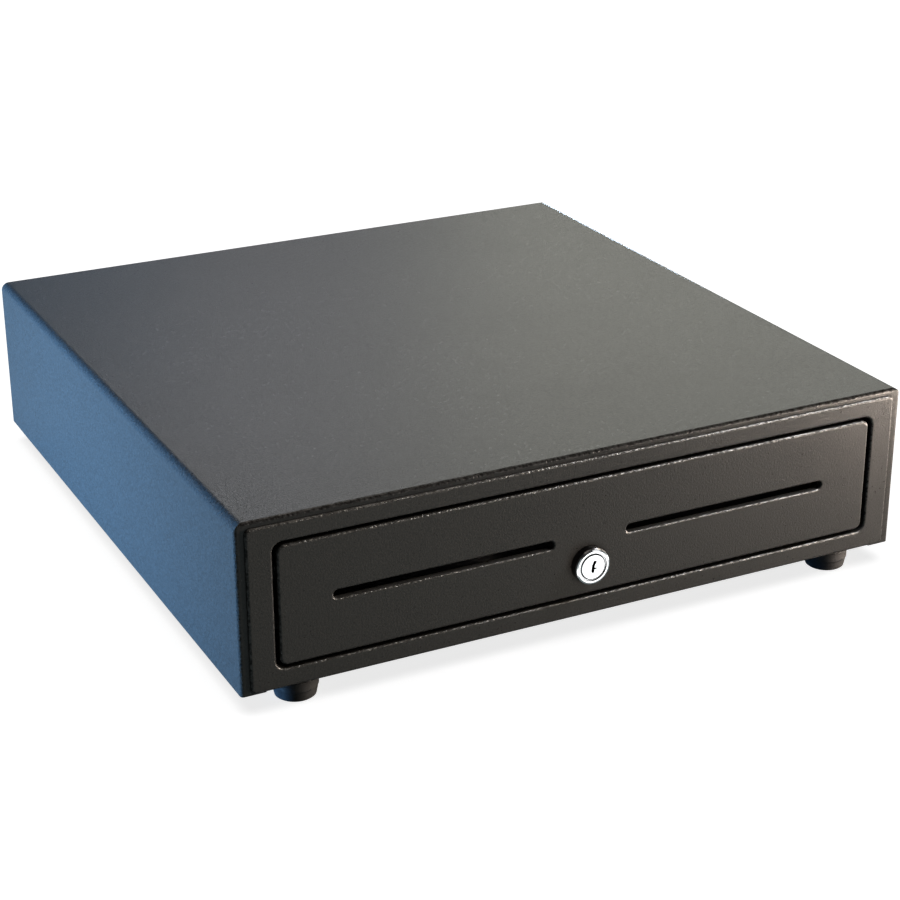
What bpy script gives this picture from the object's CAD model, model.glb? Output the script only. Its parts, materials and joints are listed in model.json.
import json
import math

import bpy
from mathutils import Matrix, Vector

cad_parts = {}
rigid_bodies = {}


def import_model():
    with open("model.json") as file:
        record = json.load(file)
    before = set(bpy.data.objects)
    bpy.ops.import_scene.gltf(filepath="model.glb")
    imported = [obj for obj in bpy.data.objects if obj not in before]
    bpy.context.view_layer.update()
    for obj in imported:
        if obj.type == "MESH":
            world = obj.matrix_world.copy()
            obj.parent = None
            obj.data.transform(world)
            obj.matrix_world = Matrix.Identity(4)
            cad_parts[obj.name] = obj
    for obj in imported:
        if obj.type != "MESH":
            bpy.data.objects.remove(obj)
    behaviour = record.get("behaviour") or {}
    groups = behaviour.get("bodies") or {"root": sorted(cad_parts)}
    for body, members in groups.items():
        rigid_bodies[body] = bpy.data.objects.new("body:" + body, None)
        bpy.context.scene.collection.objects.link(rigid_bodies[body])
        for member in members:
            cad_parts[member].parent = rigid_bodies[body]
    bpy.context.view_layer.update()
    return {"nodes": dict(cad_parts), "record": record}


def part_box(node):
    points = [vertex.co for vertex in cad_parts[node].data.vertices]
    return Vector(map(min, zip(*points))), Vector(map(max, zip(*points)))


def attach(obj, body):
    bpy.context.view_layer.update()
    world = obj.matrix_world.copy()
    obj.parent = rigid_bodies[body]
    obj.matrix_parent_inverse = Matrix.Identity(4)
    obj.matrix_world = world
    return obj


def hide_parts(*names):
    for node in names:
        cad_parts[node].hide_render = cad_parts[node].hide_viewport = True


MM = 0.001


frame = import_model()
nodes = frame["nodes"]
scene = bpy.context.scene


# ---------------------------------------------------------------- material builder
INPUT_NAMES = {
    "color": "Base Color",
    "metal": "Metallic",
    "rough": "Roughness",
    "normal": "Normal",
    "spec": "Specular IOR Level",
    "coat": "Coat Weight",
    "coat_rough": "Coat Roughness",
    "aniso": "Anisotropic",
}


class Mat:
    """Builds a material on a Principled shader. Textures use object space, in metres."""

    def __init__(self, name):
        self.mat = bpy.data.materials.new(name)
        self.mat.use_nodes = True
        self.tree = self.mat.node_tree
        self.tree.nodes.clear()
        output = self.node("OutputMaterial")
        self.shader = self.node("BsdfPrincipled")
        self.feed(output.inputs[0], self.shader.outputs[0])
        self.coords = self.node("TexCoord").outputs["Object"]

    def node(self, kind):
        return self.tree.nodes.new("ShaderNode" + kind)

    def feed(self, socket, value):
        """Give an input a colour, a number or a link."""
        if isinstance(value, tuple):
            socket.default_value = (*value, 1.0)
        elif isinstance(value, (int, float)):
            socket.default_value = value
        else:
            self.tree.links.new(value, socket)

    def noise(self, scale, detail=2.0, rough=0.5, stretch=(1, 1, 1), distortion=0.0):
        """Noise texture. A larger stretch packs it finer along that axis."""
        noise = self.node("TexNoise")
        noise.inputs["Scale"].default_value = scale
        noise.inputs["Detail"].default_value = detail
        noise.inputs["Roughness"].default_value = rough
        noise.inputs["Distortion"].default_value = distortion
        mapping = self.node("Mapping")
        mapping.inputs["Scale"].default_value = stretch
        self.feed(mapping.inputs["Vector"], self.coords)
        self.feed(noise.inputs["Vector"], mapping.outputs[0])
        return noise.outputs["Fac"]

    def remap(self, value, span, to=(0.0, 1.0)):
        """Map the range span onto the range to, clamped."""
        remap = self.node("MapRange")
        remap.inputs["From Min"].default_value = span[0]
        remap.inputs["From Max"].default_value = span[1]
        remap.inputs["To Min"].default_value = to[0]
        remap.inputs["To Max"].default_value = to[1]
        self.feed(remap.inputs["Value"], value)
        return remap.outputs[0]

    def calc(self, operation, a, b=0):
        calc = self.node("Math")
        calc.operation = operation
        self.feed(calc.inputs[0], a)
        self.feed(calc.inputs[1], b)
        return calc.outputs[0]

    def mix(self, factor, a, b):
        """Mix two colours. Sockets 6, 7 and output 2 are the colour ones."""
        mix = self.node("Mix")
        mix.data_type = "RGBA"
        self.feed(mix.inputs[0], factor)
        self.feed(mix.inputs[6], a)
        self.feed(mix.inputs[7], b)
        return mix.outputs[2]

    def bump(self, height, distance, strength, after=None):
        bump = self.node("Bump")
        bump.inputs["Distance"].default_value = distance
        self.feed(bump.inputs["Strength"], strength)
        self.feed(bump.inputs["Height"], height)
        if after is not None:
            self.feed(bump.inputs["Normal"], after)
        return bump.outputs[0]

    def bevel(self, radius):
        bevel = self.node("Bevel")
        bevel.samples = 4
        bevel.inputs["Radius"].default_value = radius
        return bevel.outputs[0]

    def surface_normal(self):
        return self.node("NewGeometry").outputs["Normal"]

    def split(self, vector):
        """The x, y and z sockets of a vector."""
        split = self.node("SeparateXYZ")
        self.feed(split.inputs[0], vector)
        return split.outputs

    def openness(self, distance):
        """About 0 deep in a gap, 1 out in the open."""
        occlusion = self.node("AmbientOcclusion")
        occlusion.samples = 6
        occlusion.inputs["Distance"].default_value = distance
        return self.remap(occlusion.outputs["AO"], span=(0.25, 0.8), to=(0.06, 1.0))

    def edge_mask(self, radius):
        """About 1 on edges and corners, 0 on flats."""
        rounded = self.bevel(radius)
        flat = self.surface_normal()
        dot = self.node("VectorMath")
        dot.operation = "DOT_PRODUCT"
        self.feed(dot.inputs[0], rounded)
        self.feed(dot.inputs[1], flat)
        return self.remap(dot.outputs["Value"], span=(1.0, 0.86))

    def bend_mask(self, normal):
        """0 where the surface faces along an axis, 1 on the bends between."""
        x, y, z = (self.calc("ABSOLUTE", part) for part in self.split(normal))
        largest = self.calc("MAXIMUM", self.calc("MAXIMUM", x, y), z)
        return self.remap(largest, span=(0.992, 0.93))

    def set(self, **values):
        for key, value in values.items():
            self.feed(self.shader.inputs[INPUT_NAMES[key]], value)


def shade(color, factor, lift=0.0):
    """A colour scaled and lifted, held at or below 1."""
    return tuple(min(1.0, c * factor + lift) for c in color)


# ---------------------------------------------------------------- materials
def powder_coat(name, base):
    m = Mat(name)
    # sandy grain, a finer speckle and a slow drift of tone
    grain = m.noise(scale=900, detail=3, rough=0.6)
    speckle = m.noise(scale=2400)
    slow = m.noise(scale=9, detail=3, rough=0.55)
    color = m.mix(m.remap(grain, span=(0.32, 0.68)), shade(base, 0.72), shade(base, 1.45))
    color = m.mix(m.remap(slow, span=(0.3, 0.7), to=(0.0, 0.25)), color, shade(base, 1.25))
    # rubbed edges are a little paler
    rim = m.edge_mask(radius=0.0009)
    wear = m.remap(m.noise(scale=260, detail=3), span=(0.42, 0.7), to=(0.0, 0.5))
    color = m.mix(m.calc("MULTIPLY", rim, wear), color, shade(base, 2.6, lift=0.015))
    # paint deep in the gaps and slots stays dark
    clear = m.openness(distance=0.006)
    color = m.mix(clear, (0.001, 0.001, 0.001), color)
    rough = m.noise(scale=520, detail=3, rough=0.6)
    rough = m.remap(rough, span=(0.3, 0.7), to=(0.27, 0.37))
    rough = m.calc("ADD", rough, m.remap(slow, span=(0.3, 0.7), to=(-0.008, 0.008)))
    normal = m.bevel(radius=0.0007)
    # the grains on a bend catch the light one by one, and ripple the flats very slightly
    bend = m.bend_mask(normal)
    beads = m.noise(scale=500)
    bead_strength = m.remap(bend, span=(0.0, 1.0), to=(0.012, 0.6))
    normal = m.bump(beads, distance=0.0008, strength=bead_strength, after=normal)
    normal = m.bump(m.noise(scale=130), distance=0.0016, strength=0.008, after=normal)
    glint = m.remap(beads, span=(0.38, 0.62), to=(-0.40, 0.30))
    glint = m.calc("ADD", m.calc("MULTIPLY", bend, glint), 0.5)
    normal = m.bump(grain, distance=0.00024, strength=0.65, after=normal)
    normal = m.bump(speckle, distance=0.00007, strength=0.6, after=normal)
    m.set(color=color, rough=rough, normal=normal, spec=m.calc("MULTIPLY", clear, glint))
    return m.mat


def plated_steel(name, color, rough, streak=(30, 2, 30), edge=0.0005):
    m = Mat(name)
    brushed = m.noise(scale=60, detail=4, rough=0.6, stretch=streak)
    cloud = m.noise(scale=120, detail=4, rough=0.6)
    spot = m.noise(scale=900)
    tone = m.mix(m.remap(cloud, span=(0.3, 0.7)), shade(color, 0.84), color)
    spot = m.remap(spot, span=(0.62, 0.8), to=(0.0, 0.35))
    tone = m.mix(spot, tone, shade(color, 0.6))
    rough = m.remap(brushed, span=(0.25, 0.75), to=(rough - 0.07, rough + 0.1))
    normal = m.bump(brushed, distance=0.00003, strength=0.35, after=m.bevel(edge))
    m.set(color=tone, metal=1.0, rough=rough, normal=normal, aniso=0.35)
    return m.mat


def chrome(name):
    m = Mat(name)
    fine = m.noise(scale=2200, detail=3)
    hair = m.noise(scale=300, detail=3, stretch=(1, 1, 14))
    color = m.mix(m.remap(hair, span=(0.35, 0.65)), (0.78, 0.79, 0.81), (0.92, 0.93, 0.95))
    # the root of the lock sees mostly the dark front
    color = m.mix(m.openness(distance=0.012), (0.02, 0.02, 0.022), color)
    # only what faces along Y is bright
    facing_y = m.calc("ABSOLUTE", m.split(m.surface_normal())[1])
    color = m.mix(m.remap(facing_y, span=(0.25, 0.8)), (0.06, 0.06, 0.064), color)
    m.set(
        color=color,
        metal=1.0,
        rough=m.remap(fine, span=(0.3, 0.7), to=(0.10, 0.19)),
        normal=m.bump(hair, distance=0.00001, strength=0.3, after=m.bevel(0.00018)),
    )
    return m.mat


def plastic(name, color, rough, grain_scale=2000, grain_depth=0.00002, edge=0.0006):
    m = Mat(name)
    grain = m.noise(scale=grain_scale, detail=3, rough=0.55)
    slow = m.noise(scale=14, detail=3)
    scuff = m.noise(scale=85, detail=5, rough=0.65, stretch=(3, 14, 3), distortion=0.6)
    tone = m.mix(m.remap(slow, span=(0.3, 0.7)), shade(color, 0.85), shade(color, 1.15))
    scuff_tone = m.remap(scuff, span=(0.66, 0.8), to=(0.0, 0.25))
    tone = m.mix(scuff_tone, tone, shade(color, 2.2, lift=0.01))
    rim = m.calc("MULTIPLY", m.edge_mask(radius=0.0007), 0.22)
    tone = m.mix(rim, tone, shade(color, 2.0, lift=0.01))
    rough = m.remap(grain, span=(0.3, 0.7), to=(rough - 0.05, rough + 0.06))
    rough = m.calc("ADD", rough, m.remap(scuff, span=(0.6, 0.8), to=(0.0, 0.08)))
    normal = m.bump(grain, distance=grain_depth, strength=0.6, after=m.bevel(edge))
    m.set(color=tone, rough=rough, normal=normal, spec=0.5)
    return m.mat


def rubber(name):
    m = Mat(name)
    grain = m.noise(scale=1300, detail=3, rough=0.6)
    dust = m.noise(scale=150, detail=4, rough=0.6)
    dust = m.remap(dust, span=(0.5, 0.8), to=(0.0, 0.35))
    m.set(
        color=m.mix(dust, (0.012, 0.012, 0.013), (0.05, 0.048, 0.045)),
        rough=m.remap(grain, span=(0.3, 0.7), to=(0.62, 0.82)),
        normal=m.bump(grain, distance=0.00006, strength=0.6, after=m.bevel(0.0007)),
        spec=0.35,
    )
    return m.mat


def tape(name):
    m = Mat(name)
    winding = m.noise(scale=900, stretch=(1, 1, 12))
    m.set(
        color=m.mix(m.remap(winding, span=(0.35, 0.65)), (0.34, 0.16, 0.015), (0.62, 0.36, 0.05)),
        rough=0.32,
        normal=m.bump(winding, distance=0.00006, strength=0.7),
        coat=0.4,
        coat_rough=0.2,
    )
    return m.mat


def sheath(name):
    m = Mat(name)
    grain = m.noise(scale=700, detail=3)
    m.set(
        color=m.mix(m.remap(grain, span=(0.3, 0.7)), (0.02, 0.02, 0.021), (0.045, 0.045, 0.048)),
        rough=0.45,
        normal=m.bump(grain, distance=0.00004, strength=0.4),
    )
    return m.mat


# material slot: material
mats = {
    "black_powder_coat": powder_coat("paint_sandy_black", base=(0.0175, 0.0172, 0.017)),
    "black_screw_steel": plated_steel("screw_black_oxide", (0.12, 0.12, 0.125), rough=0.36),
    "zinc_steel": plated_steel("steel_zinc_plate", (0.62, 0.63, 0.65), rough=0.30),
    "spring_steel": plated_steel(
        "steel_spring", (0.52, 0.53, 0.55), rough=0.26, streak=(20, 20, 20), edge=0.0002
    ),
    "lock_chrome": chrome("lock_chrome_polish"),
    "foot_rubber": rubber("foot_rubber"),
    "till_plastic": plastic(
        "plastic_till", (0.022, 0.022, 0.024), rough=0.42, grain_scale=1500, grain_depth=0.00004
    ),
    "clip_plastic": plastic("plastic_clip", (0.03, 0.03, 0.033), rough=0.34, grain_scale=2200),
    "coil_tape": tape("coil_tape_amber"),
    "switch_plastic": plastic("plastic_switch", (0.028, 0.028, 0.03), rough=0.38, edge=0.0003),
    "cable_sheath": sheath("cable_sheath_pvc"),
}

slot_of = {part["node"]: part["material_slot"] for part in frame["record"]["subparts"]}
for name, obj in nodes.items():
    obj.data.materials.clear()
    obj.data.materials.append(mats[slot_of[name]])
    for polygon in obj.data.polygons:
        polygon.material_index = 0


# ---------------------------------------------------------------- wound springs
WIRE_SIDES = 10

# five small springs in a row along X, each with a straight tail towards the back
CLIP_PITCH = 68.04 * MM
CLIP_OFFSET = 15.7 * MM
CLIP_Y = 119 * MM
CLIP_Z = 81 * MM
CLIP_WIRE = 0.42 * MM
CLIP_RADIUS = 2.3 * MM
CLIP_COIL_START = 0.5 * MM
CLIP_COIL_LENGTH = 6.3 * MM
CLIP_TAIL = 6 * MM
CLIP_TAIL_STEPS = 6


def spring_wire(name, path, radius, body, replaced):
    """A round wire with capped ends, swept along path, that replaces a CAD piece."""
    path = [Vector(point) for point in path]
    last = len(path) - 1
    tangent = (path[1] - path[0]).normalized()
    guide = Vector((0, 0, 1)) if abs(tangent.z) < 0.9 else Vector((1, 0, 0))
    normal = (guide - tangent * guide.dot(tangent)).normalized()
    verts = []
    for i, point in enumerate(path):
        tangent = (path[min(i + 1, last)] - path[max(i - 1, 0)]).normalized()
        # carry the previous normal along, so the wire doesn't twist
        normal = (normal - tangent * normal.dot(tangent)).normalized()
        side = tangent.cross(normal)
        for k in range(WIRE_SIDES):
            angle = 2 * math.pi * k / WIRE_SIDES
            across = normal * (radius * math.cos(angle))
            verts.append(point + across + side * (radius * math.sin(angle)))
    faces = []
    for i in range(last):
        for k in range(WIRE_SIDES):
            a = i * WIRE_SIDES + k
            b = i * WIRE_SIDES + (k + 1) % WIRE_SIDES
            faces.append((a, b, b + WIRE_SIDES, a + WIRE_SIDES))
    faces.append(tuple(range(WIRE_SIDES - 1, -1, -1)))
    faces.append(tuple(range(last * WIRE_SIDES, len(path) * WIRE_SIDES)))
    mesh = bpy.data.meshes.new(name)
    mesh.from_pydata([tuple(vert) for vert in verts], [], faces)
    mesh.update()
    for polygon in mesh.polygons:
        polygon.use_smooth = len(polygon.vertices) == 4
    wire = bpy.data.objects.new(name, mesh)
    scene.collection.objects.link(wire)
    mesh.materials.append(mats["spring_steel"])
    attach(wire, body)
    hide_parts(replaced)


def helix(centre, axis, radius, start, length, turns, per_turn=22, phase=0.0):
    """Points on a helix along axis 'x', 'y' or 'z', beginning at the coordinate start."""
    points = []
    count = int(turns * per_turn)
    for i in range(count + 1):
        part = i / count
        angle = phase + 2 * math.pi * turns * part
        u = radius * math.cos(angle)
        v = radius * math.sin(angle)
        along = start + length * part
        if axis == "x":
            points.append((along, centre[1] + u, centre[2] + v))
        elif axis == "y":
            points.append((centre[0] + v, along, centre[2] + u))
        else:
            points.append((centre[0] + u, centre[1] + v, along))
    return points


def boxed_spring(node, axis, wire, clearance, turns, body):
    """A coil that fills the box of the sleeve it replaces."""
    low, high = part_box(node)
    i = "xyz".index(axis)
    radius = (high.x - low.x) / 2 - wire - clearance
    length = high[i] - low[i] - 2 * wire
    path = helix((low + high) / 2, axis, radius, low[i] + wire, length, turns)
    spring_wire(node + "_wire", path, wire, body, node)


def clip_spring(number, left):
    path = helix(
        (0, CLIP_Y, CLIP_Z), "x", CLIP_RADIUS, left + CLIP_COIL_START, CLIP_COIL_LENGTH,
        turns=7, per_turn=20, phase=math.pi / 2,
    )
    tail_x = left + (CLIP_COIL_START + CLIP_COIL_LENGTH)
    for step in range(1, CLIP_TAIL_STEPS + 1):
        y = CLIP_Y + CLIP_TAIL * step / CLIP_TAIL_STEPS
        path.append((tail_x, y, CLIP_Z + CLIP_RADIUS))
    spring_wire("clip_spring_wire_%d" % number, path, CLIP_WIRE, "drawer", "clip_springs")


boxed_spring("ejector_spring", "y", wire=0.55 * MM, clearance=0.05 * MM, turns=20, body="case")
boxed_spring("plunger_spring", "z", wire=0.42 * MM, clearance=0.03 * MM, turns=4.5, body="plunger")
for i in range(-2, 3):
    clip_spring(i + 3, i * CLIP_PITCH + CLIP_OFFSET)


# ---------------------------------------------------------------- floor and world
def split_by_camera(tree, unseen, seen, output):
    """Show one shader to the camera and the other to every other ray."""
    path = tree.nodes.new("ShaderNodeLightPath")
    mixer = tree.nodes.new("ShaderNodeMixShader")
    tree.links.new(path.outputs["Is Camera Ray"], mixer.inputs[0])
    tree.links.new(unseen.outputs[0], mixer.inputs[1])
    tree.links.new(seen.outputs[0], mixer.inputs[2])
    tree.links.new(mixer.outputs[0], tree.nodes[output].inputs["Surface"])


def floor_material():
    mat = bpy.data.materials.new("floor_pale")
    mat.use_nodes = True
    tree = mat.node_tree
    pale = tree.nodes["Principled BSDF"]
    pale.inputs["Base Color"].default_value = (0.52, 0.52, 0.52, 1)
    pale.inputs["Roughness"].default_value = 0.8
    pale.inputs["Specular IOR Level"].default_value = 0.1
    pale.inputs["Emission Color"].default_value = (1, 1, 1, 1)
    pale.inputs["Emission Strength"].default_value = 0.80
    # the paint mirrors a darker floor than the pale one the camera sees
    dim = tree.nodes.new("ShaderNodeBsdfDiffuse")
    dim.name = "floor_for_bounces"
    dim.inputs["Color"].default_value = (0.285, 0.335, 0.335, 1)
    split_by_camera(tree, dim, pale, "Material Output")
    return mat


def build_world():
    """The backdrop reads white to the camera while the room itself stays dim."""
    world = bpy.data.worlds.new("studio")
    scene.world = world
    world.use_nodes = True
    tree = world.node_tree
    room = tree.nodes["Background"]
    room.inputs["Color"].default_value = (1.0, 1.0, 1.0, 1)
    room.inputs["Strength"].default_value = 0.02
    white = tree.nodes.new("ShaderNodeBackground")
    white.name = "white_backdrop"
    white.inputs["Color"].default_value = (0.98, 0.98, 0.98, 1)
    split_by_camera(tree, room, white, "World Output")


floor_mat = floor_material()
bpy.ops.mesh.primitive_plane_add(size=14, location=(0, 0, 0))
floor = bpy.context.object
floor.name = "floor"
floor.data.materials.append(floor_mat)
build_world()


# ---------------------------------------------------------------- light linking
def light_set(name, objects, exclude=False):
    """A collection that a light is limited to, or that it leaves out."""
    group = bpy.data.collections.new(name)
    for obj in objects:
        group.objects.link(obj)
    if exclude:
        for item in group.collection_objects:
            item.light_linking.link_state = "EXCLUDE"
    return group


# pieces of the closed outside. The others get a fill of their own, to read in an open drawer
SHELL = {
    "outer_cover", "rear_panel", "front_bezel", "base_pan", "drawer_front", "lock_barrel",
    "lock_plug", "rubber_feet", "foot_screws", "cover_screws",
}
lock = [nodes["lock_barrel"], nodes["lock_plug"]]
inner = [nodes[name] for name in sorted(nodes) if name not in SHELL]
for obj in sorted(bpy.data.objects, key=lambda obj: obj.name):
    if obj.type == "MESH" and "spring_wire" in obj.name:
        inner.append(obj)

floor_only = light_set("floor_only", [floor])
not_floor = light_set("not_floor", [floor], exclude=True)
no_lid = light_set("no_lid", [floor, nodes["outer_cover"], *lock], exclude=True)
no_lock = light_set("no_lock", [floor, *lock], exclude=True)
inside = light_set("inside", inner)
lock_set = light_set("lock_set", lock)

# ---------------------------------------------------------------- lights
WATTS_PER_UNIT = 20
MIDDLE = (0, 0, 0.1)

# name, place, target, width, height, RGB strength in units of 20 W, receivers
LIGHTS = [
    ("back_right", (1.18, 1.22, 0.75), (0.05, 0.1, 0.1), 1.1, 0.9,
     (0.172, 0.173, 0.152), not_floor),
    ("back_high", (1.3, 1.45, 1.0), MIDDLE, 1.2, 0.35, (0.10, 0.10, 0.095), not_floor),
    ("back_column", (0.46, 1.6, 1.12), MIDDLE, 0.45, 0.45, (0.086, 0.086, 0.088), not_floor),
    ("back_low", (0.6, 1.6, 0.5), MIDDLE, 0.35, 0.25, (0.0096, 0.0098, 0.0105), not_floor),
    ("back_cool", (0.12, 1.6, 0.6), MIDDLE, 0.5, 0.4, (0.0066, 0.0105, 0.0155), not_floor),
    ("back_middle", (0.35, 1.6, 0.7), MIDDLE, 1.0, 0.9, (0.010, 0.012, 0.015), not_floor),
    ("top", (0.1, 0.1, 1.8), MIDDLE, 1.4, 1.4, (0.4, 0.36, 0.32), not_floor),
    ("front_right_low", (0.55, -0.42, 0.056), (0.2, -0.2, 0.056), 0.25, 0.09,
     (0.345, 0.29, 0.245), no_lock),
    # for the front and the bends
    ("front_right_high", (1.3, -0.8, 0.9), (0.1, -0.1, 0.06), 0.6, 0.5,
     (1.55, 1.34, 1.04), no_lid),
    # a cool strip low on the left, under the level of the lid
    ("cool_left", (-0.7, 0.09, 0.055), (-0.2, 0.09, 0.055), 0.22, 0.09,
     (0.49, 1.16, 2.2), not_floor),
    # close to the right end, for the bends
    ("bend_card", (0.34, -0.35, 0.38), (0.18, -0.21, 0.10), 0.12, 0.12,
     (0.12, 0.12, 0.125), no_lid),
    # a weak cool strip behind, also under the level of the lid
    ("cool_back", (0.7, 1.15, 0.055), (0, 0.21, 0.055), 0.5, 0.09, (0.10, 0.13, 0.17), not_floor),
    # soft cards for the views from the other corners
    ("far_left_card", (-1.5, 0.95, 0.85), MIDDLE, 0.8, 0.8, (0.10, 0.10, 0.103), not_floor),
    ("far_front_card", (1.1, -1.3, 0.6), MIDDLE, 1.1, 0.8, (0.13, 0.13, 0.128), not_floor),
    ("inside_fill", (-0.25, -1.1, 1.2), (0, -0.35, 0.06), 0.8, 0.8, (0.8, 0.8, 0.82), inside),
    ("inside_left", (-1.1, -0.7, 0.35), (-0.18, -0.35, 0.05), 0.8, 0.5, (0.3, 0.3, 0.31), inside),
]


def floor_light():
    data = bpy.data.lights.new("floor_light", "SUN")
    data.energy = 2.1
    data.angle = math.radians(70)
    sun = bpy.data.objects.new("floor_light", data)
    scene.collection.objects.link(sun)
    sun.location = (0, 0, 3)
    sun.light_linking.receiver_collection = floor_only


def area(name, place, target, width, height, watts, color, receivers):
    data = bpy.data.lights.new(name, "AREA")
    data.shape = "RECTANGLE"
    data.size = width
    data.size_y = height
    data.energy = watts
    data.color = color
    light = bpy.data.objects.new(name, data)
    scene.collection.objects.link(light)
    light.location = place
    aim = Vector(target) - Vector(place)
    light.rotation_euler = aim.to_track_quat("-Z", "Y").to_euler()
    light.visible_camera = False
    light.light_linking.receiver_collection = receivers
    return light


floor_light()
lights = {}
for name, place, target, width, height, strength, receivers in LIGHTS:
    top = max(strength)
    color = tuple(c / top for c in strength)
    lights[name] = area(
        name, place, target, width, height, WATTS_PER_UNIT * top, color, receivers
    )
for name in ("front_right_low", "front_right_high"):
    lights[name].light_linking.blocker_collection = no_lock
lights["cool_left"].visible_glossy = False
# a small card in front of the lock, facing up, that lights only the lock
area(
    "lock_card", place=(0.10, -0.36, 0.004), target=(0.10, -0.36, 1), width=0.26, height=0.2,
    watts=0.28, color=(1, 0.985, 0.96), receivers=lock_set,
)


# ---------------------------------------------------------------- camera
CAMERA_PLACE = (-0.53320, -1.10413, 0.55750)
CAMERA_FORWARD = (0.41137177, 0.8215994, -0.39464882)
CAMERA_UP = (0.17929289, 0.35158059, 0.91882814)


def build_camera():
    data = bpy.data.cameras.new("photo_camera")
    camera = bpy.data.objects.new("photo_camera", data)
    scene.collection.objects.link(camera)
    forward = Vector(CAMERA_FORWARD).normalized()
    right = forward.cross(Vector(CAMERA_UP).normalized()).normalized()
    up = right.cross(forward)
    rows = [(right[i], up[i], -forward[i], CAMERA_PLACE[i]) for i in range(3)]
    camera.matrix_world = Matrix((*rows, (0, 0, 0, 1)))
    data.sensor_fit = "HORIZONTAL"
    data.sensor_width = 36.0
    data.lens = 84.62
    data.clip_start = 0.01
    data.clip_end = 60
    scene.camera = camera


build_camera()
scene.view_settings.view_transform = "Standard"
